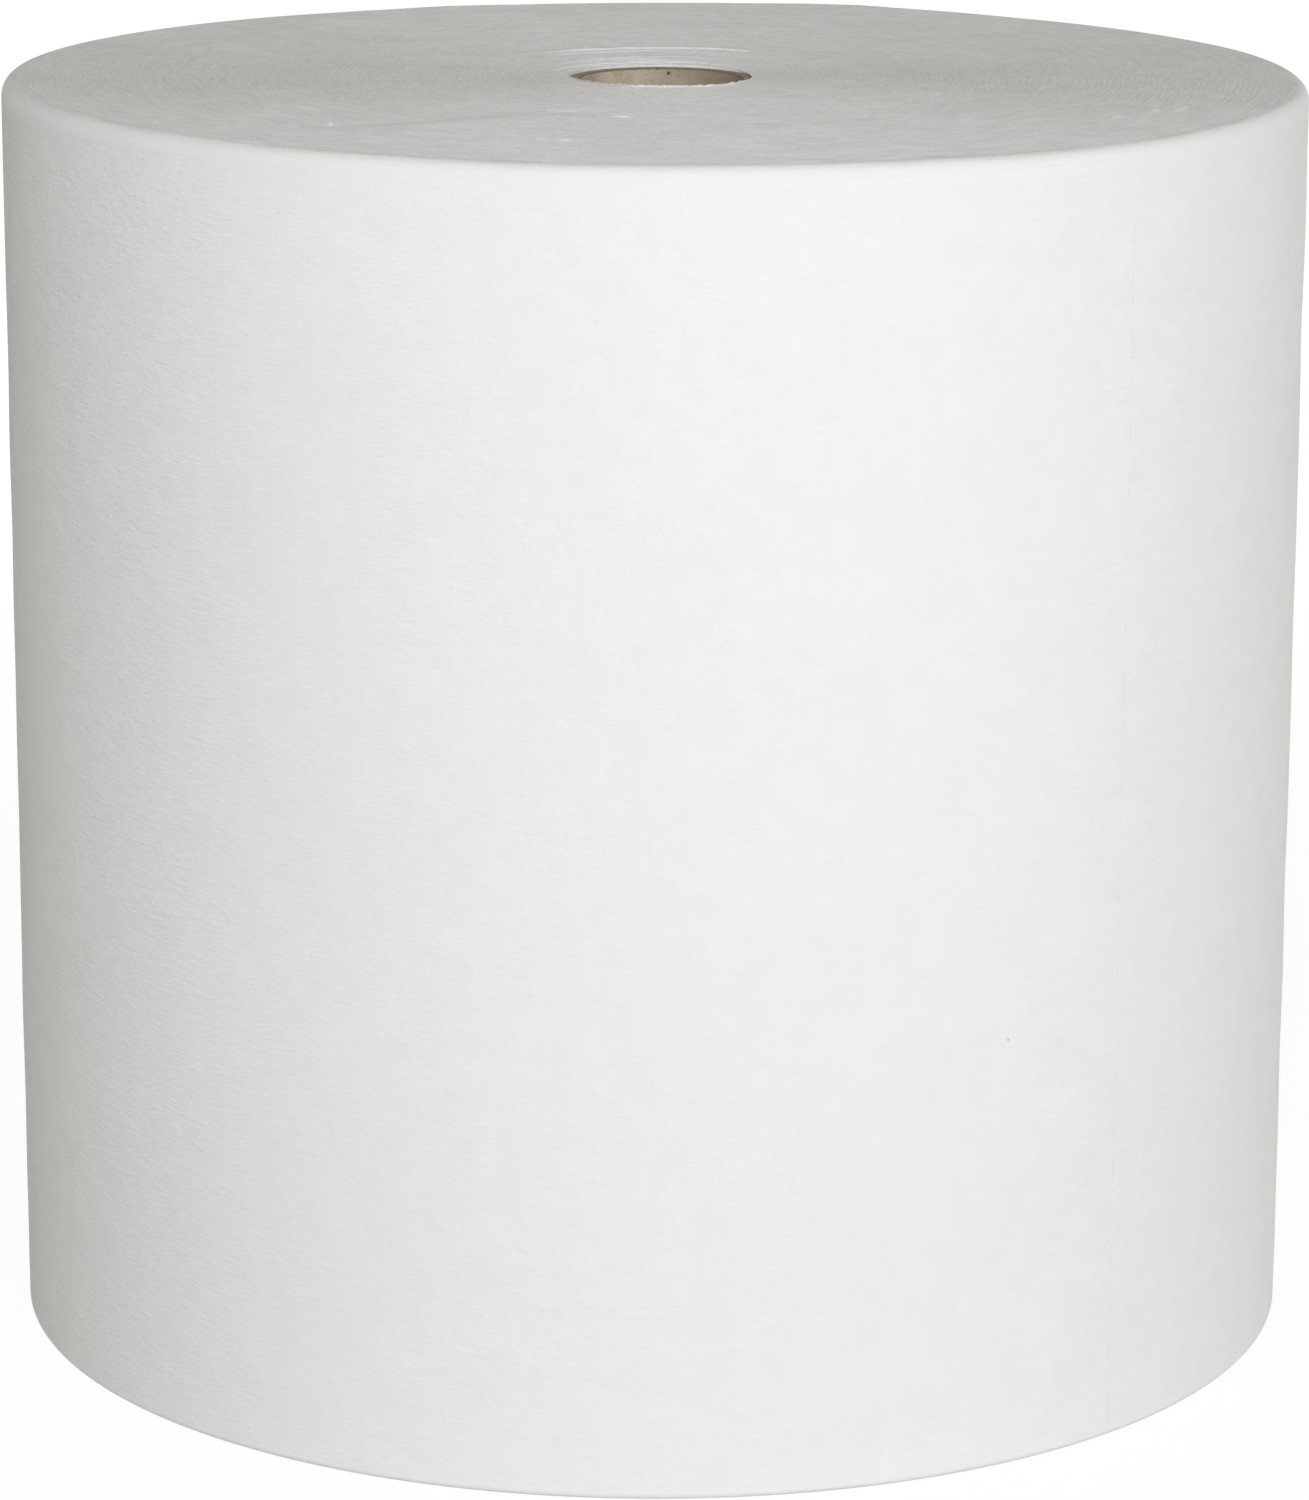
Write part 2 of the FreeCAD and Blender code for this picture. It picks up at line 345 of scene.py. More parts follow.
# The mesh: bundles on the two terraces and on the rest of the upper end, and on the foot; degrees
# round a rim for each of its rows; and columns to a turn, closer together on part of the front.
BUNDLES = (12, 14, 70)
FOOT_BUNDLES = 20
RIM_ROWS = (0, 10, 21, 33, 45, 56, 66, 75, 82, 87, 90)
TURN_COLUMNS = 241
NEAR_SIDE = (0.361, 0.599)
NEAR_COLUMNS = 145
CLOSE_BY = 1e-5
EDGE_FINISH = 0
FACE_FINISH = 1

# The materials, with pairs as for the paperboard.
CUT_EDGE_COLOURS = ((0.716, 0.709, 0.697), (0.857, 0.850, 0.838))
# Painted shade along the crease behind the slip line.
CREASE_SHADE_COLOUR = (0.64, 0.63, 0.61)
# Painted highlight on the tufts, whiter than the web's own fibre, in full from this tuft height up.
TUFT_HIGHLIGHT_COLOUR = (0.96, 0.95, 0.935)
TUFT_HIGHLIGHT_HEIGHT = 0.2 * mm
# The loose lip's tips, browner and darker: partly the board seen through thin fibre, partly painted
# shade.
SEE_THROUGH_AND_SHADE_COLOUR = (0.46, 0.395, 0.32)
SEE_THROUGH_AND_SHADE_EDGE = (0.3 * mm, 0.6 * mm)
RIM_COLOUR = (0.870, 0.875, 0.869)
CUT_EDGE_BUMP = 0.17 * mm
FACE_COLOURS = ((0.872, 0.878, 0.873), (0.896, 0.902, 0.898))
FACE_BUMP = 0.15 * mm
LINT_COLOUR = (0.35, 0.34, 0.33)
LINT_CELL = 17 * mm
LINT_CHOSEN = (0.90, 0.91)
LINT_EDGE = (0.012, 0.028)
STREAKY_TOWARDS = -110
STREAKY_EDGE = (0.02, 0.10)
STREAKY_HEIGHTS = (90 * mm, 230 * mm)
ROUGH_LEFT = (-0.8, -0.4)
ROUGH_RIGHT = (0.4, 0.8)
WEB_NOISE = (0.34, 0.66)

sheet_share = SHEET_LENGTH / (2 * math.pi * roll_radius)
last_perforation = SHEETS * sheet_share
rim_start = roll_radius - RIM
foot_start = roll_radius - FOOT_RIM


def spiral_radius(wound):
    """The outside of the roll at a share of a turn wound back, clockwise, from the tail edge."""
    return roll_radius + TURN * (0.5 - wound)


def spiral_angle(wound):
    """The direction from the axis at that share of a turn."""
    return TAIL_ANGLE - 2 * np.pi * wound


def drift(radius):
    """How far a turn's centre lies off the roll's axis, because the tube lies off it."""
    return tube_centre * (roll_radius - radius) / (roll_radius - tube_radius)


def fade(distance, full, none):
    """1 up to the distance full, 0 from none on, and smooth between."""
    share = np.clip((np.asarray(distance) - full) / (none - full), 0, 1)
    return 1 - share * share * (3 - 2 * share)


def turned_from(angle, towards):
    """How far the angle is from a direction in degrees, either way round."""
    return np.abs(np.angle(np.exp(1j * (angle - math.radians(towards)))))


# Turns that stand proud for part of the way round: radius about the tube in mm, the middle of the
# stretch and its length in degrees, height in mm, and how far in mm the turns behind that edge rise
# with it, outwards or, below 0, inwards. Where that is 0 they are a narrow ridge.
PROUD_TURNS = (
    (57.0, 92, 78, 0.40, 7), (51.0, 104, 50, 0.12, 4), (46.0, 80, 44, 0.11, 4),
    (39.5, 98, 74, 0.25, 6), (35.5, 112, 60, 0.14, 3), (32.0, 106, 80, 0.17, 4),
    (28.5, 120, 150, 0.33, 4), (25.5, 128, 130, 0.12, 2), (46.8, -5, 40, 0.24, 0),
    (43.8, -12, 44, 0.14, 0), (38.5, -26, 34, 0.18, 0), (54.9, -10, 36, 0.12, 0),
    (33.0, 168, 50, 0.16, 0), (127.0, 139, 16, 0.15, 0), (133.0, 131, 12, 0.13, 0),
    (119.0, 112, 9, 0.14, 0), (112.0, 176, 22, 0.10, 0), (76.0, -20, 24, 0.12, 0),
    (101.0, 20, 20, 0.10, 0),
)
RIDGE_REACH = 0.2 * mm

# Tufts of fibre that stand out of the cut edges, with a painted highlight whiter than the web: a
# radius in mm, a direction in degrees, and a length along the turn and a height in mm.
TUFTS = (
    (125.5, -127.2, 1.7, 0.95), (73.6, -107.5, 5.8, 0.36), (81.0, -95.7, 3.7, 0.38),
    (122.4, -102.2, 1.3, 0.32), (122.8, -99.7, 1.7, 0.32), (134.1, -34.5, 4.2, 0.58),
    (136.7, -28.3, 1.5, 0.75), (141.4, -26.2, 7.0, 0.25), (109.0, -47.5, 4.0, 0.24),
    (91.0, -73.5, 9.0, 0.12), (88.0, -56.0, 7.0, 0.14), (136.0, -109.0, 9.0, 0.14),
    (109.0, -139.5, 9.0, 0.14),
)
TUFT_WIDTH = 0.6 * mm

# How far the upper end is drawn up at the rim: directions in degrees, and heights in mm.
DRAWN_UP = (
    (-165, 1.4), (-152, 1.35), (-140, 1.15), (-133, 1.1), (-126, 0.8), (-112, 0.8), (-107, 0.55),
    (-100, 0.35), (-75, 0.3), (-66, 0.1), (-58, -0.1), (-42, -0.15), (-15, 0.2), (5, 0.5),
    (18, 0.6), (30, 0.4), (52, 0.35), (62, 0.7), (70, 0.9), (80, 0.6), (90, 0.35), (117, 0.2),
    (131, 0.55), (150, 0.85), (165, 1.1), (180, 1.2),
)

# The winding slipped along a line across the turns. In front of the line they lie higher, most of
# all beside it. Its places are a radius in mm, a direction in degrees, and a height in mm.
SLIP = (
    (140, -128, 0.0), (130, -124.5, 0.20), (120, -121, 0.36), (108, -117.5, 0.42), (97, -114.5, 0.40),
    (89, -112, 0.34), (84, -107.5, 0.26), (81, -101, 0.16), (80, -94, 0.0),
)
SLIP_BACK = 9 * mm
SLIP_FRONT = 32 * mm
# Painted shade: the width of a grey band just behind the slip line.
CREASE_SHADE_WIDTH = 3.2 * mm

# The innermost turns rise into a frayed lip: directions in degrees, and heights in mm. The turns
# next to it rise with it by a share that falls off over a few millimetres. Its own rows lie so many
# mm from the tube and have this share of the height. In one direction the lip is loose fibre, and
# in another it leans in over the tube: fully within the first angle, and not beyond the second.
LIP = (
    (-141, 0.8), (-117, 0.95), (-97, 0.85), (-78, 0.75), (-50, 0.75), (-31, 0.7), (0, 0.15),
    (50, 0.3), (90, 0.38), (130, 0.35), (180, 0.15),
)
LIP_SHARE = 0.45
LIP_REACH = 2.2 * mm
LIP_ROWS = ((0.03, 0.85), (0.13, 1.0), (0.30, 0.92))
LOOSE_TOWARDS = -130
LOOSE_WITHIN = (12, 32)
LEANING = 0.5 * mm
LEANING_TOWARDS = 0
LEANING_WITHIN = (10, 45)


def along_slip(x, y):
    """How far off the slip line some points lie, whether they lie in front of it, and its height."""
    places = []
    for radius, towards, stands in SLIP:
        angle = math.radians(towards)
        places.append((radius * mm * math.cos(angle), radius * mm * math.sin(angle), stands * mm))
    nearest = np.full(x.shape, np.inf)
    front = np.zeros(x.shape, bool)
    height = np.zeros(x.shape)
    for (x0, y0, height0), (x1, y1, height1) in zip(places, places[1:]):
        squared = (x1 - x0) ** 2 + (y1 - y0) ** 2
        along = np.clip(((x - x0) * (x1 - x0) + (y - y0) * (y1 - y0)) / squared, 0, 1)
        off = np.hypot(x - x0 - along * (x1 - x0), y - y0 - along * (y1 - y0))
        in_front = (x1 - x0) * (y - y0) - (y1 - y0) * (x - x0) < 0
        height = np.where(off < nearest, height0 + along * (height1 - height0), height)
        front = np.where(off < nearest, in_front, front)
        nearest = np.minimum(off, nearest)
    return nearest, front, height


def drawn_up(radius, angle):
    """How far the upper end is drawn up in a direction, least at the tube and most at the rim."""
    towards, stands = np.array(DRAWN_UP).T
    outward = np.clip((radius - tube_radius) / (rim_start - tube_radius), 0, 1)
    at_rim = np.interp(np.degrees(angle), towards, stands * mm, period=360)
    return at_rim * (DRAWN_AT_TUBE + (1 - DRAWN_AT_TUBE) * outward ** 1.5)


def slip_height(x, y):
    """How far the slipped turns stand up, at points of the upper end."""
    off, front, height = along_slip(x, y)
    return height * np.where(front, np.exp(-off / SLIP_FRONT), fade(off, 0, SLIP_BACK))


def tuft_height(x, y):
    """How far the tufts stand up, at points of the upper end."""
    height = np.zeros(x.shape)
    angle = np.arctan2(y, x)
    for radius, towards, length, stands in TUFTS:
        across = (np.hypot(x, y) - radius * mm) / TUFT_WIDTH
        along = turned_from(angle, towards) * radius / length
        height += stands * mm * np.exp(-across ** 2) * fade(along, 0.25, 0.75)
    return height


def lip_height(angle):
    """How far the innermost turns stand up in a direction."""
    towards, stands = np.array(LIP).T
    return np.interp(np.degrees(angle), towards, stands * mm, period=360)


def looseness(angle):
    """1 where the lip is only loose fibres, and 0 where it is firm."""
    return fade(turned_from(angle, LOOSE_TOWARDS), *np.radians(LOOSE_WITHIN))


def terrace_step(angle):
    """The height of each step down to the turns round the tube, more at the back than in front."""
    return TERRACE_STEP * (1 + TERRACE_TILT * np.sin(angle))


def terrace_height(radius, angle):
    """The upper end before any turn stands proud: level outside, lower round the tube."""
    step = terrace_step(angle)
    lip = LIP_SHARE * lip_height(angle) * np.exp(-(radius - tube_radius) / LIP_REACH)
    return roll_height - step * (radius < OUTER_TERRACE) - step * (radius < INNER_TERRACE) + lip


def bundle_edges(first, last, count, chance):
    """Radii that divide a stretch of the end into bundles of turns of uneven widths."""
    widths = 0.7 + 0.6 * chance.random(count)
    return first + np.concatenate([[0], np.cumsum(widths)]) / widths.sum() * (last - first)


def end_rows(spans, seed, slope, uneven):
    """Rows across an end, a low one and a high one to each bundle: radius and height."""
    chance = np.random.default_rng(seed)
    rows = []
    for first, last, count in spans:
        edges = bundle_edges(first, last, count, chance)
        for low, high in zip(edges, edges[1:]):
            stands = chance.normal() * uneven
            crest = 0.47 + 0.06 * chance.random()
            rise = slope * (high - low) / 2 * (0.97 + 0.06 * chance.random())
            rows.append((low, stands - rise / 2))
            rows.append((low + crest * (high - low), stands + rise / 2))
    return np.array(rows).T


turn_wound = np.linspace(0, 1, TURN_COLUMNS)
turn_wound = turn_wound[(turn_wound < NEAR_SIDE[0]) | (turn_wound > NEAR_SIDE[1])]
turn_wound = np.append(turn_wound, [last_perforation - CLOSE_BY, last_perforation + CLOSE_BY])
turn_wound = np.sort(np.append(turn_wound, np.linspace(*NEAR_SIDE, NEAR_COLUMNS)))
turn_angle = spiral_angle(turn_wound)
outside = spiral_radius(turn_wound)
under_last_turn = outside - TURN * (turn_wound < last_perforation)


def upper_end_rows():
    """The upper end from the tube to the rim: bundles with wavy borders, a little uneven all over."""
    borders = (tube_radius + 0.5 * mm, INNER_TERRACE, OUTER_TERRACE, rim_start)
    spans = zip(borders, borders[1:], BUNDLES)
    radius, stands = end_rows(spans, seed=5, slope=RIDGE_SLOPE, uneven=UNEVEN)
    lows = radius[::2].copy()
    radius = np.repeat(radius[:, None], turn_angle.size, axis=1)
    risen = []
    for middle, towards, length, proud, behind in PROUD_TURNS:
        bundle = np.abs(lows - middle * mm).argmin()
        half = math.radians(length) / 2
        stretch = fade(turned_from(turn_angle, towards), 0.35 * half, half)
        width = lows[bundle + 1] - lows[bundle]
        # The crest moves over to the edge of a step, so that the edge is steep.
        crest = lows[bundle] + (0.5 - 0.36 * np.sign(behind) * stretch) * width
        radius[2 * bundle + 1] = crest
        side = np.sign(behind) or 1
        reach = abs(behind) * mm or RIDGE_REACH
        risen.append((crest, stretch, proud * mm, side, reach))
    at_rim = fade(rim_start - radius, 0, 0.4 * mm)
    at_tube = fade(radius - tube_radius, 0, 2 * mm)
    inner = 1 - np.maximum(at_rim, at_tube)
    scallops = random_waves(seed=21, count=30, shortest=9 * mm, longest=40 * mm)
    wavy = waviness(scallops, radius * np.cos(turn_angle), radius * np.sin(turn_angle))
    shifted = radius + SCALLOP * inner * wavy
    x = drift(radius) + shifted * np.cos(turn_angle)
    y = shifted * np.sin(turn_angle)
    across = random_waves(seed=22, count=24, shortest=2.2 * mm, longest=9 * mm)
    around = random_waves(seed=23, count=24, shortest=2 * np.pi / 40, longest=2 * np.pi / 6)
    drifting = np.zeros(x.shape)
    for number, phase, turns in zip(across[0], across[2], np.round(around[0])):
        drifting += np.cos(number * radius + phase + turns * turn_angle)
    drifting /= math.sqrt(across[0].size / 2)
    sag = random_waves(seed=24, count=14, shortest=45 * mm, longest=150 * mm)
    fuzz = np.random.default_rng(25).normal(size=x.shape)
    fuzz[:, -1] = fuzz[:, 0]
    height = terrace_height(radius, turn_angle) + slip_height(x, y) + drawn_up(radius, turn_angle)
    height = height + inner * (stands[:, None] + UNEVEN * drifting + FUZZ * fuzz)
    height = height + inner * SAG * waviness(sag, x, y)
    for crest, stretch, proud, side, reach in risen:
        off = (radius - crest) * side
        falling = np.where(off >= 0, np.exp(-np.maximum(off, 0) / reach), 0)
        height += proud * falling * stretch * inner
    height += tuft_height(x, y)
    return np.stack([x, y, height], axis=-1)


def lip_rows():
    """The first turns' frayed edge, inside the end's first row."""
    fraying = random_waves(seed=26, count=16, shortest=1.2 * mm, longest=5 * mm)
    x = tube_radius * np.cos(turn_angle)
    y = tube_radius * np.sin(turn_angle)
    frayed = waviness(fraying, x, y)
    out, share = np.array(LIP_ROWS).T[:, :, None]
    radius = tube_radius + out * mm
    tufts = np.random.default_rng(27).random(turn_angle.size)
    tufts[-1] = tufts[0]
    lip = lip_height(turn_angle) * (1.04 + 0.11 * frayed)
    lip = lip * (1 - (0.10 + 0.3 * looseness(turn_angle)) * tufts)
    level = roll_height - 2 * terrace_step(turn_angle) + drawn_up(tube_radius, turn_angle)
    leaning = LEANING * fade(turned_from(turn_angle, LEANING_TOWARDS), *np.radians(LEANING_WITHIN))
    return ring_points(radius - leaning, turn_angle, level + share * lip, tube_centre)


def lower_end_rows():
    """The end that the roll stands on, from the rim to the tube: flat, with fine hollows."""
    span = (tube_radius + 0.3 * mm, foot_start, FOOT_BUNDLES)
    radius, stands = end_rows([span], seed=6, slope=FOOT_SLOPE, uneven=FOOT_UNEVEN)
    radius = radius[::-1, None]
    hollow = np.maximum(stands[::-1, None], 0) * (1 + 0.6 * np.cos(3 * turn_angle + radius / (9 * mm)))
    return ring_points(radius, turn_angle, hollow, drift(radius))


def rim_rows(top):
    """A rounded outer rim from the end's face to the side, as a quarter ellipse."""
    turned = np.radians(RIM_ROWS)[:, None]
    if top:
        radius = rim_start + (outside - rim_start) * np.sin(turned)
        height = roll_height - RIM + (RIM + drawn_up(rim_start, turn_angle)) * np.cos(turned)
        return ring_points(radius, turn_angle, height, 0.0)
    radius = foot_start + (outside - foot_start) * np.sin(turned)
    return ring_points(radius, turn_angle, FOOT_RIM * (1 - np.cos(turned)), 0.0)[::-1]


def make_cut_edges():
    """The ends of the turns: fibrous cut edges in rings, lighter and darker by turns."""
    material, tree = new_material("nonwoven_cut_edges")
    where = node(tree, "TexCoord").outputs["Object"]
    axes = node(tree, "SeparateXYZ", {0: where})
    flat = node(tree, "CombineXYZ", {0: axes.outputs[0], 1: axes.outputs[1]}).outputs[0]
    first_radius = node(tree, "VectorMath", {0: flat}, operation="LENGTH").outputs["Value"]
    # The rings' centres shift from the roll's axis to the tube's, nearly as drift() has it.
    off_axis = node(tree, "MapRange", {
        "Value": first_radius, "From Min": tube_radius, "From Max": roll_radius,
        "To Min": tube_centre, "To Max": 0.0,
    }).outputs[0]
    centre = node(tree, "CombineXYZ", {0: off_axis}).outputs[0]
    centred = node(tree, "VectorMath", {0: flat, 1: centre}, operation="SUBTRACT").outputs[0]
    radius = node(tree, "VectorMath", {0: centred}, operation="LENGTH").outputs["Value"]
    scallop = grain(tree, where, (14 * mm, 14 * mm, 14 * mm), detail=2.0)
    radius = calc(tree, "ADD", radius, calc(tree, "MULTIPLY", scallop, 2.2 * mm))
    towards = node(tree, "VectorMath", {0: centred}, operation="NORMALIZE").outputs[0]

    def rings(lobes, width, detail):
        """Noise drawn out along the turns: lobes to a radian, and one grain to a width."""
        around = node(tree, "VectorMath", {0: towards, "Scale": lobes}, operation="SCALE")
        lifted = node(tree, "CombineXYZ", {2: calc(tree, "MULTIPLY", radius, 1 / width)})
        place = node(tree, "VectorMath", {0: around.outputs[0], 1: lifted.outputs[0]}, operation="ADD")
        return grain(tree, place.outputs[0], (1, 1, 1), detail)

    bundles = rings(lobes=5.0, width=1.3 * mm, detail=2.0)
    edges = rings(lobes=16.0, width=0.5 * mm, detail=1.0)
    fibres = grain(tree, where, (0.8 * mm, 0.8 * mm, 0.8 * mm), detail=3.0, roughness=0.7)
    clouds = grain(tree, where, (22 * mm, 22 * mm, 22 * mm), detail=2.0)
    tone = weighted(tree, (bundles, 0.08), (edges, 0.40), (fibres, 0.34), (clouds, 0.18))
    colour = blend_colours(tree, spread(tree, tone, *WEB_NOISE), *CUT_EDGE_COLOURS)
    # Painted shade in the crease behind the slip line, read from a value on each vertex.
    painted_crease_shade = node(tree, "Attribute", attribute_name="painted_crease_shade").outputs["Fac"]
    colour = blend_colours(tree, calc(tree, "MULTIPLY", painted_crease_shade, 0.5), colour, CREASE_SHADE_COLOUR)
    # Painted highlight on the tufts, read from a value on each vertex.
    painted_tuft_highlight = node(tree, "Attribute", attribute_name="painted_tuft_highlight").outputs["Fac"]
    colour = blend_colours(tree, painted_tuft_highlight, colour, TUFT_HIGHLIGHT_COLOUR)
    # The loose lip's tips: partly the board seen through thin fibre, partly painted shade.
    thin = node(tree, "Attribute", attribute_name="thin").outputs["Fac"]
    colour = blend_colours(tree, calc(tree, "MULTIPLY", thin, 0.85), colour, SEE_THROUGH_AND_SHADE_COLOUR)
    to_side = spread(tree, first_radius, roll_radius - 3.2 * mm, roll_radius - 0.1 * mm)
    colour = blend_colours(tree, to_side, colour, RIM_COLOUR)
    relief = weighted(tree, (bundles, 0.05), (edges, 0.30), (fibres, 1.15))
    relief = calc(tree, "MULTIPLY", relief, spread(tree, to_side, 0.0, 1.0, 1.0, 0.3))
    roughness = spread(tree, tone, *WEB_NOISE, 0.92, 0.84)
    finish_surface(tree, colour, roughness, relief, CUT_EDGE_BUMP, sheen=0.1, specular=0.25)
    return material


def make_web_face():
    """The flat face of the nonwoven: fibres laid mostly round the roll, soft clouds, a little lint.

    It is rougher towards the left and the right, and streakier in one band high on the front.
    """
    material, tree = new_material("nonwoven_face")
    where = node(tree, "TexCoord").outputs["Object"]
    streaks = grain(tree, where, (4.0 * mm, 4.0 * mm, 0.5 * mm), detail=2.0, roughness=0.6)
    strands = grain(tree, where, (7.0 * mm, 7.0 * mm, 1.2 * mm), detail=1.0)
    tangle = grain(tree, where, (0.9 * mm, 0.9 * mm, 0.7 * mm), detail=2.0, roughness=0.6)
    dimples = grain(tree, where, (2.4 * mm, 2.4 * mm, 2.0 * mm), detail=1.0)
    clouds = grain(tree, where, (9 * mm, 9 * mm, 8 * mm), detail=2.0, roughness=0.5)
    tone = weighted(tree, (streaks, 0.34), (tangle, 0.26), (clouds, 0.40))
    colour = blend_colours(tree, spread(tree, tone, *WEB_NOISE), *FACE_COLOURS)
    cells = node(tree, "TexVoronoi", {"Vector": where, "Scale": 1 / LINT_CELL})
    chance = node(tree, "SeparateXYZ", {0: cells.outputs["Color"]}).outputs[0]
    rare = spread(tree, chance, *LINT_CHOSEN)
    small = spread(tree, cells.outputs["Distance"], *LINT_EDGE, 1.0, 0.0)
    lint = calc(tree, "MULTIPLY", calc(tree, "MULTIPLY", rare, small), 0.55)
    colour = blend_colours(tree, lint, colour, LINT_COLOUR)
    axes = node(tree, "SeparateXYZ", {0: where})
    flat = node(tree, "CombineXYZ", {0: axes.outputs[0], 1: axes.outputs[1]}).outputs[0]
    towards = node(tree, "VectorMath", {0: flat}, operation="NORMALIZE").outputs[0]
    band = math.radians(STREAKY_TOWARDS)
    band_middle = (math.cos(band), math.sin(band), 0)
    off_band = node(tree, "VectorMath", {0: towards, 1: band_middle}, operation="DISTANCE")
    near_band = spread(tree, off_band.outputs["Value"], *STREAKY_EDGE, 1.0, 0.0)
    high_up = spread(tree, axes.outputs[2], *STREAKY_HEIGHTS)
    streaky = calc(tree, "MULTIPLY", near_band, high_up)
    across = node(tree, "SeparateXYZ", {0: towards}).outputs[0]
    on_left = spread(tree, across, *ROUGH_LEFT, 1.0, 0.0)
    on_right = spread(tree, across, *ROUGH_RIGHT, 0.0, 0.35)
    rougher = calc(tree, "ADD", on_left, on_right)

    def depth(level, more):
        """A weight of this level, and so much more where the face is rougher."""
        return calc(tree, "MULTIPLY_ADD", rougher, more, level)

    streak_level = calc(tree, "MULTIPLY_ADD", streaky, 0.36, 0.36)
    relief = weighted(tree, (streaks, depth(streak_level, 0.95)), (tangle, depth(0.27, 0.85)),
                      (strands, depth(0.15, 0.9)), (dimples, depth(0.9, 0.3)), (clouds, 1.4))
    roughness = spread(tree, tone, *WEB_NOISE, 0.95, 0.85)
    finish_surface(tree, colour, roughness, relief, FACE_BUMP, sheen=0.04, specular=0.2)
    return material


cut_edges = make_cut_edges()
web_face = make_web_face()

hub_edge = ring_points(tube_radius, turn_angle, np.array([[tube_top]]), tube_centre)
ledge = ring_points(under_last_turn, turn_angle, np.array([[roll_height - RIM], [FOOT_RIM]]), 0.0)
bore_foot = ring_points(tube_radius, turn_angle, np.array([[0.0]]), tube_centre)
sections = [
    (hub_edge, FACE_FINISH), (lip_rows(), EDGE_FINISH), (upper_end_rows(), EDGE_FINISH),
    (rim_rows(True), EDGE_FINISH), (ledge, FACE_FINISH), (rim_rows(False), EDGE_FINISH),
    (lower_end_rows(), EDGE_FINISH), (bore_foot, FACE_FINISH), (hub_edge, FACE_FINISH),
]
strips = [finish for section, finish in sections for row in section]
turns_grid = np.concatenate([section for section, finish in sections])
tail_ends = (
    np.concatenate([rim_rows(True), ledge[:1]])[:, [0, -1]],
    np.concatenate([ledge[1:], rim_rows(False)])[:, [0, -1]],
)
wound_turns = welded_piece("wound_turns", [
    (turns_grid, strips), (tail_ends[0], FACE_FINISH), (tail_ends[1], FACE_FINISH),
], [cut_edges, web_face], sharp_angle=16)


def mark(piece, name, values):
    """A value at each vertex of a piece, which its material reads by this name."""
    attribute = piece.data.attributes.new(name, "FLOAT", "POINT")
    attribute.data.foreach_set("value", values.astype(np.float32))


x, y, z = np.array([point.co for point in wound_turns.data.vertices]).T
off_slip, in_front, slipped = along_slip(x, y)
behind_slip = np.where(in_front, -off_slip, off_slip)
# Painted shade: a grey band just behind the slip line, darkest where the turns slipped most.
greyed = slipped / slipped.max() * np.exp(-((behind_slip - CREASE_SHADE_WIDTH / 2) / CREASE_SHADE_WIDTH) ** 2)
mark(wound_turns, "painted_crease_shade", greyed * (z > roll_height - RIM))
# Painted highlight: the taller a tuft, up to the given height, the whiter it is painted.
tufty = np.clip(tuft_height(x, y) / TUFT_HIGHLIGHT_HEIGHT, 0, 1)
mark(wound_turns, "painted_tuft_highlight", tufty * (z > roll_height - RIM))
off_tube = np.hypot(x - tube_centre, y) - tube_radius
# Browner and darker next to the tube where the lip is loose: partly the board seen through, partly
# painted shade.
see_through_and_shade = looseness(np.arctan2(y, x)) * fade(off_tube, *SEE_THROUGH_AND_SHADE_EDGE)
mark(wound_turns, "thin", see_through_and_shade * (z > tube_top))
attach(wound_turns, "root")
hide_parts("wound_web")


# ---- outer turn --------------------------------------------------------------------------------
# The last turn, three wipes long. Lines of slits across the web with short ties between them let a
# wipe be torn off; the web puckers a little beside them. The last wipe ends in the torn tail edge,
# which clings near both rims and stands a little off the turn beneath between them.

SLIT_PITCH = 12 * mm
TIE = 3 * mm
SLIT_OPEN = 0.08 * mm
SLIT_EDGE = 2 * mm

# The mesh: rows up each pitch of the slits, and columns beside a line of them, in mm, and between.
ROWS_IN_PITCH = (
    0.0, 0.5 * TIE, TIE - 0.1 * mm, TIE + 0.1 * mm, 4.8 * mm, 6.6 * mm, 8.4 * mm, 10.2 * mm,
    SLIT_PITCH - 0.2 * mm,
)
ROW_MARGIN = 0.4 * mm
BESIDE_LINE = (0.0, 0.25, 0.7, 1.4, 2.4, 3.6, 5.0, 6.5)
SHEET_COLUMNS = 176

# The slack web, its puckers beside a line of slits, and a shallow bulge low on the front.
HELD_AT_RIM = 14 * mm
HELD_AT_TAIL = 25 * mm
SLACK = 0.07 * mm
PUCKER = 0.06 * mm
PUCKER_REACH = 20 * mm
PUCKER_SLANT = 0.35
LINE_DIP = 0.05 * mm
BULGE = 0.30 * mm
BULGE_WIDTH = 6.5 * mm
BULGE_LENGTH = 62 * mm
BULGE_PLACE = 0.415

# The tail edge: the torn ties' nibs, its ragged line, and where it stands off and where it clings.
NIB = 0.45 * mm
RAGGED = 0.12 * mm
TAIL_LIFT = 0.55 * mm
LIFTED = 90 * mm
CLINGING = 22 * mm

side_start = FOOT_RIM
side_end = roll_height - RIM
circumference = 2 * math.pi * roll_radius
slack_waves = random_waves(seed=31, count=22, shortest=35 * mm, longest=150 * mm)
pucker_waves = random_waves(seed=32, count=26, shortest=7 * mm, longest=22 * mm)
tail_waves = random_waves(seed=33, count=10, shortest=30 * mm, longest=110 * mm)
nib_waves = random_waves(seed=34, count=20, shortest=1.2 * mm, longest=6 * mm)


def side_rows():
    """Heights of the rows up the side, with a row at each end of every slit."""
    rows = {side_start, side_end}
    for pitch in range(math.ceil(roll_height / SLIT_PITCH)):
        for part in ROWS_IN_PITCH:
            height = pitch * SLIT_PITCH + part
            if side_start + ROW_MARGIN < height < side_end - ROW_MARGIN:
                rows.add(height)
    return np.array(sorted(rows))[:, None]


def in_slit(height):
    """1 along a slit and 0 along a tie."""
    place = np.mod(height, SLIT_PITCH)
    return ((place > TIE) & (place < SLIT_PITCH - 0.15 * mm)).astype(float)


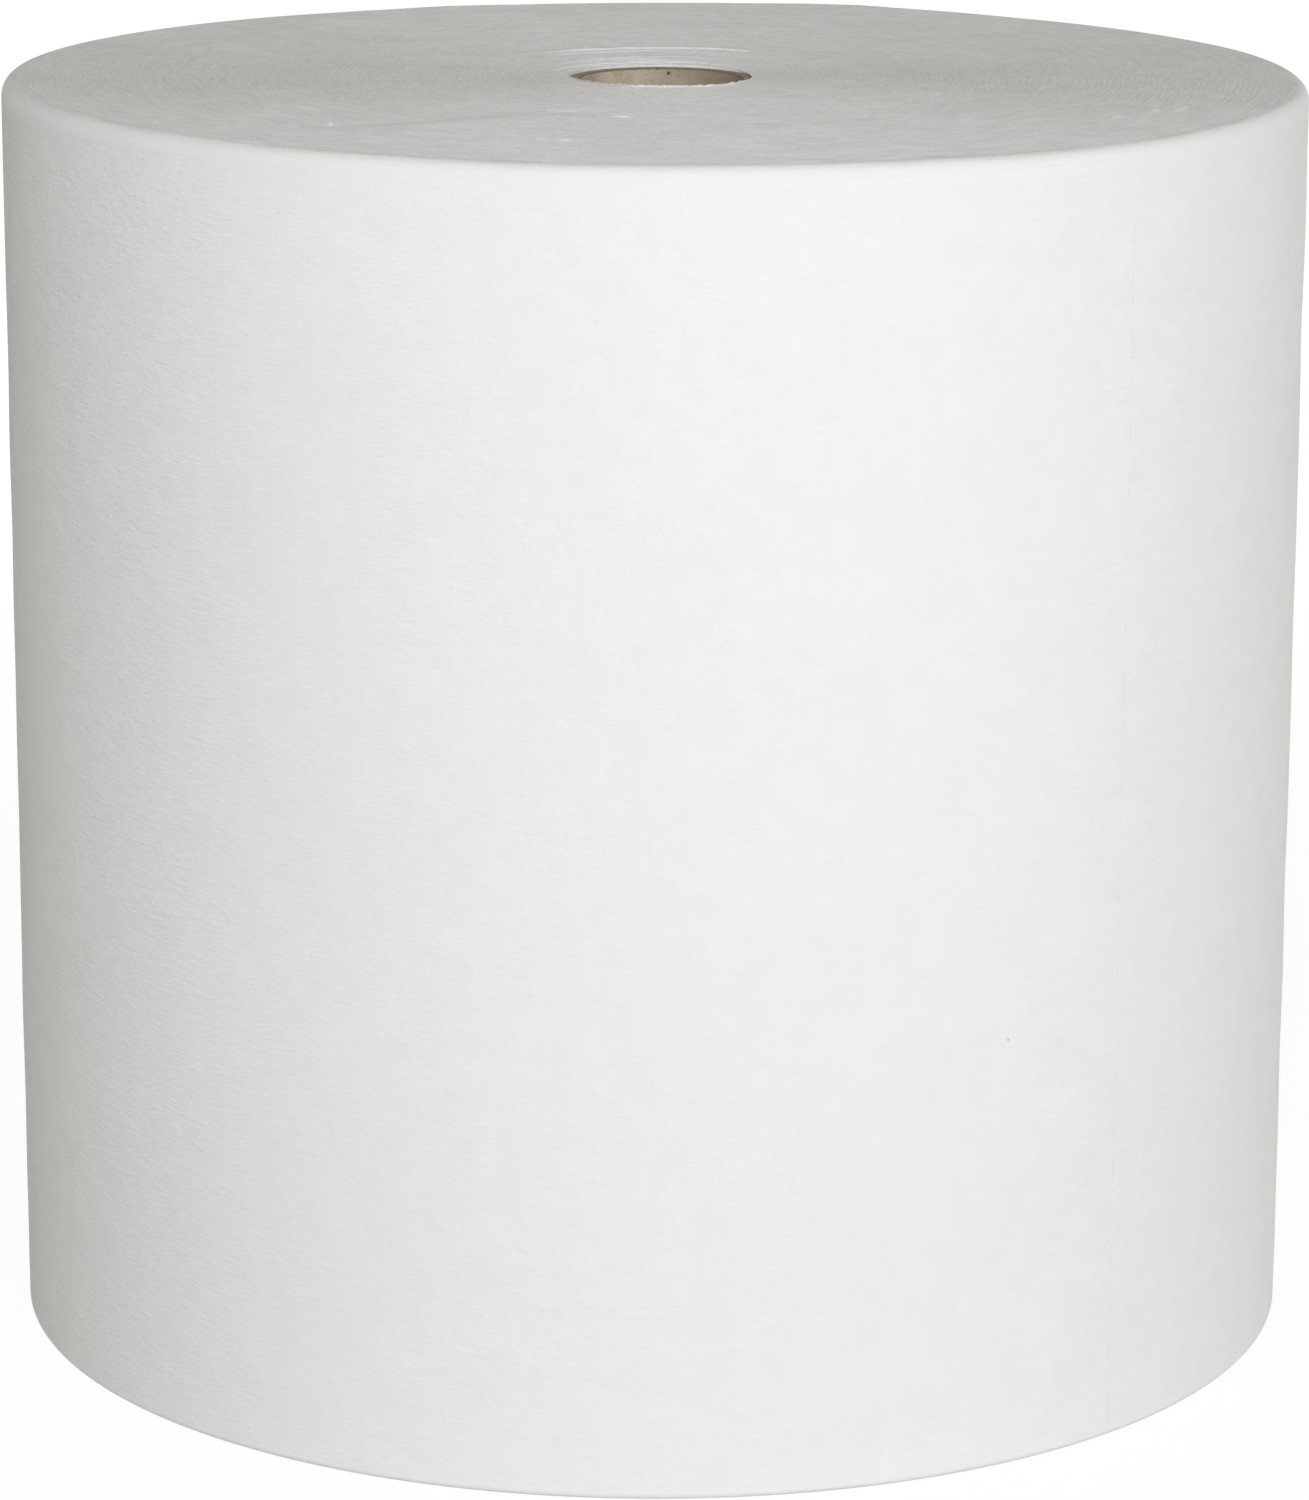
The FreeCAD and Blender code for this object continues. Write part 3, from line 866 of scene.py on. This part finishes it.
def side_height(along, height):
    """How far the slack web stands off the true spiral, at a place along the web and up it."""
    to_rim = np.minimum(height - side_start, side_end - height)
    to_tail = np.minimum(along, SHEETS * SHEET_LENGTH - along)
    held = (1 - fade(to_rim, 0, HELD_AT_RIM)) * (1 - fade(to_tail, 0, HELD_AT_TAIL))
    slack = SLACK * waviness(slack_waves, along, height)
    to_line = np.abs(np.mod(along + SHEET_LENGTH / 2, SHEET_LENGTH) - SHEET_LENGTH / 2)
    pucker = waviness(pucker_waves, along - PUCKER_SLANT * height, height * 0.8)
    pucker = PUCKER * pucker * fade(to_line, 1 * mm, PUCKER_REACH)
    line_dip = -LINE_DIP * fade(to_line, 0, 2.5 * mm)
    bulge_along = (along - BULGE_PLACE * circumference) / BULGE_LENGTH
    crest = side_start + 6 * mm + 11 * mm * np.abs(1 - bulge_along)
    bulge = BULGE * np.exp(-((height - crest) / BULGE_WIDTH) ** 2)
    bulge = bulge * fade(np.abs(bulge_along), 0.3, 1.0)
    return held * (slack + pucker + line_dip) + bulge * (1 - fade(to_rim, 0, 4 * mm))


def closed_sheet(name, outer, inner, row_step, column_step, material):
    """A thin closed sheet from its two faces. The inner one, out of sight, is coarser."""
    rows, columns = outer.shape[:2]
    behind = rows * columns
    number = np.arange(behind).reshape(rows, columns)
    back = number + behind
    points = np.concatenate([outer.reshape(-1, 3), inner.reshape(-1, 3)])
    faces = []
    for first in number[:-1, :-1].ravel().tolist():
        faces.append((first, first + columns, first + columns + 1, first + 1))
    kept_rows = sorted({*range(0, rows - 1, row_step), rows - 1})
    kept_columns = sorted({*range(0, columns - 1, column_step), columns - 1})
    for low, high in zip(kept_rows, kept_rows[1:]):
        for left, right in zip(kept_columns, kept_columns[1:]):
            bottom = range(left, right + 1) if low == 0 else (left, right)
            top = range(left, right + 1) if high == rows - 1 else (left, right)
            start = range(low + 1, high) if left == 0 else ()
            end = range(low + 1, high) if right == columns - 1 else ()
            ring = [back[low, column] for column in bottom]
            ring += [back[row, right] for row in end]
            ring += [back[high, column] for column in reversed(top)]
            ring += [back[row, left] for row in reversed(start)]
            faces.append(ring)
    border = [*number[0, :], *number[1:, -1], *number[-1, -2::-1], *number[-2:0:-1, 0]]
    for first, second in zip(border, border[1:] + border[:1]):
        faces.append((first, second, second + behind, first + behind))
    used = sorted({corner for face in faces for corner in face})
    place = {corner: index for index, corner in enumerate(used)}
    mesh = bpy.data.meshes.new(name)
    numbered = [[place[corner] for corner in face] for face in faces]
    mesh.from_pydata(points[used].tolist(), [], numbered)
    mesh.polygons.foreach_set("use_smooth", [True] * len(mesh.polygons))
    mesh.set_sharp_from_angle(angle=math.radians(50))
    mesh.materials.append(material)
    sheet = bpy.data.objects.new(name, mesh)
    bpy.context.scene.collection.objects.link(sheet)
    return sheet


def sheet_columns(start, end):
    """Places along one wipe, closer together beside its perforated edges."""
    near = np.array(BESIDE_LINE) * mm
    middle = np.linspace(start + 8 * mm, end - 8 * mm, SHEET_COLUMNS)
    return np.concatenate([start + near, middle, end - near[::-1]])


heights = side_rows()
for sheet_number in range(SHEETS):
    start = sheet_number * SHEET_LENGTH
    end = start + SHEET_LENGTH
    along = sheet_columns(start, end)
    edge_gap = SLIT_OPEN * in_slit(heights)
    near_start = fade(along - start, 0, SLIT_EDGE)
    near_end = fade(end - along, 0, SLIT_EDGE)
    placed = along + edge_gap * near_start - edge_gap * near_end
    stands = side_height(along, heights)
    if sheet_number == 0:
        nibs = NIB * (1 - in_slit(heights)) * (1.2 + waviness(nib_waves, heights, 0.0))
        ragged = RAGGED * waviness(nib_waves, 0.0, heights)
        placed = along - (nibs + ragged + edge_gap) * near_start
        to_rim = np.minimum(heights - side_start, side_end - heights)
        loose = TAIL_LIFT * (1 + 0.45 * waviness(tail_waves, along * 0.3, heights))
        stands = stands + loose * (1 - fade(to_rim, 0, CLINGING)) * fade(along, 0, LIFTED) ** 2
    wound = placed / circumference
    outer_radius = spiral_radius(wound) + stands
    outer = ring_points(outer_radius, spiral_angle(wound), heights, 0.0)
    inner = ring_points(outer_radius - TURN, spiral_angle(wound), heights, 0.0)
    name = f"outer_wipe_{sheet_number + 1}"
    wipe = closed_sheet(name, outer, inner, row_step=12, column_step=8, material=web_face)
    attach(wipe, "root")
    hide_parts("wound_web")


# ---- floor and light ---------------------------------------------------------------------------
# A plain pale floor that runs out of sight. Two broad soft lamps stand in front, above the roll's
# rim; weaker ones light it from the right and from behind, and the room gives the rest.

FLOOR_SIDE = 14.0
FLOOR_SPAN = (0.3, 1.6)
FLOOR_GLOW = (0.94, 1.0)
WHITE = (1.0, 1.0, 1.0)
SHADOW_CATCH = (0.07, 0.07, 0.07)
PAPER = (0.80, 0.79, 0.765)
ROOM_COLOUR = (1.0, 0.948, 0.871)
ROOM_SPAN = (-0.9, 0.3)
ROOM_LIGHT = (0.25, 0.285)

# The lamps: degrees to the right of the front, degrees up and metres away; width and height in
# metres; power in watts; and colour.
LAMPS = (
    ("front_lamp", (0, 35, 2.5), (1.4, 1.2), 17.7, (0.943, 0.970, 1.0)),
    ("low_front_lamp", (0, 22, 2.0), (1.4, 0.8), 12.7, (0.943, 0.970, 1.0)),
    ("right_lamp", (70, 6, 1.5), (0.8, 0.6), 2.2, (0.93, 0.96, 1.0)),
    ("low_right_lamp", (92, 0, 1.5), (1.2, 0.28), 1.8, (1.0, 0.96, 0.96)),
    ("rear_lamp", (150, 0, 1.3), (1.4, 0.28), 1.5, WHITE),
    ("far_lamp", (180, 0, 1.6), (0.5, 0.2), 4.0, WHITE),
)


def seen_directly(tree):
    """1 for what is looked at, also in a gloss or through a clear body, and 0 for what gives light."""
    ray = node(tree, "LightPath")
    reflected = calc(tree, "MAXIMUM", ray.outputs["Is Glossy Ray"], ray.outputs["Is Transmission Ray"])
    return calc(tree, "MAXIMUM", ray.outputs["Is Camera Ray"], reflected)


def make_floor():
    """The floor, white to the eye with a faint shadow, and pale to the light it returns."""
    material, tree = new_material("pale_floor")
    where = node(tree, "TexCoord").outputs["Object"]
    distance = node(tree, "VectorMath", {0: where}, operation="LENGTH").outputs["Value"]
    brightness = spread(tree, distance, *FLOOR_SPAN, *FLOOR_GLOW)
    glow = node(tree, "Emission", {"Color": (*WHITE, 1.0), "Strength": brightness})
    faint = node(tree, "BsdfDiffuse", {"Color": (*SHADOW_CATCH, 1.0)})
    white = node(tree, "AddShader", {0: glow.outputs[0], 1: faint.outputs[0]})
    paper = node(tree, "BsdfDiffuse", {"Color": (*PAPER, 1.0)})
    straight = seen_directly(tree)
    either = node(tree, "MixShader", {0: straight, 1: paper.outputs[0], 2: white.outputs[0]})
    node(tree, "OutputMaterial", {"Surface": either.outputs[0]})
    mesh = bpy.data.meshes.new("floor")
    half = FLOOR_SIDE / 2
    corners = [(-half, -half, 0), (half, -half, 0), (half, half, 0), (-half, half, 0)]
    mesh.from_pydata(corners, [], [(0, 1, 2, 3)])
    mesh.materials.append(material)
    floor = bpy.data.objects.new("floor", mesh)
    bpy.context.scene.collection.objects.link(floor)
    return floor


make_floor()


def make_room():
    """The room: soft light from all round, a little less from the left, and white where it is seen."""
    world = bpy.data.worlds.new("room")
    bpy.context.scene.world = world
    world.use_nodes = True
    tree = world.node_tree
    tree.nodes.clear()
    direction = node(tree, "TexCoord").outputs["Generated"]
    across = node(tree, "SeparateXYZ", {0: direction}).outputs[0]
    dimmer_left = spread(tree, across, *ROOM_SPAN, *ROOM_LIGHT)
    dim = node(tree, "Background", {"Color": (*ROOM_COLOUR, 1.0), "Strength": dimmer_left})
    white = node(tree, "Background", {"Color": (*WHITE, 1.0), "Strength": 1.0})
    straight = seen_directly(tree)
    either = node(tree, "MixShader", {0: straight, 1: dim.outputs[0], 2: white.outputs[0]})
    node(tree, "OutputWorld", {"Surface": either.outputs[0]})


make_room()


def soft_lamp(name, place, aim, width, height, power, colour):
    """A rectangular soft lamp turned to a point."""
    light = bpy.data.lights.new(name, "AREA")
    light.shape = "RECTANGLE"
    light.size = width
    light.size_y = height
    light.energy = power
    light.color = colour
    lamp = bpy.data.objects.new(name, light)
    lamp.location = place
    lamp.rotation_euler = (aim - place).to_track_quat("-Z", "Y").to_euler()
    bpy.context.scene.collection.objects.link(lamp)


middle = (cad_low + cad_high) / 2


def lamp_place(turned, raised, distance):
    """A point round the roll: degrees to the right of the front, degrees up, and metres away."""
    turn = math.radians(turned)
    rise = math.radians(raised)
    level = distance * math.cos(rise)
    up = distance * math.sin(rise)
    return middle + Vector((level * math.sin(turn), -level * math.cos(turn), up))


for name, direction, size, power, colour in LAMPS:
    soft_lamp(name, lamp_place(*direction), middle, *size, power, colour)


# ---- camera ------------------------------------------------------------------------------------
# A long lens in front of the roll, about a roll's height and a half up, looking down on it.

EYE = (0.39 * mm, -1429.8 * mm, 497.2 * mm)
LOOK_DOWN = math.radians(13.92)
LEAN = math.radians(0.185)
LENS = 136.5
FILM = 36.0

camera_data = bpy.data.cameras.new("camera")
camera_data.sensor_fit = "VERTICAL"
camera_data.sensor_height = FILM
camera_data.sensor_width = FILM
camera_data.lens = LENS
camera_data.clip_start = 0.05
camera_data.clip_end = 50.0
camera = bpy.data.objects.new("camera", camera_data)
camera.location = EYE
camera.rotation_mode = "QUATERNION"
heading = Vector((0.0, math.cos(LOOK_DOWN), -math.sin(LOOK_DOWN)))
upright = heading.to_track_quat("-Z", "Y")
camera.rotation_quaternion = upright @ Quaternion((0, 0, 1), LEAN)
bpy.context.scene.collection.objects.link(camera)
bpy.context.scene.camera = camera

bpy.context.scene.view_settings.view_transform = "Standard"
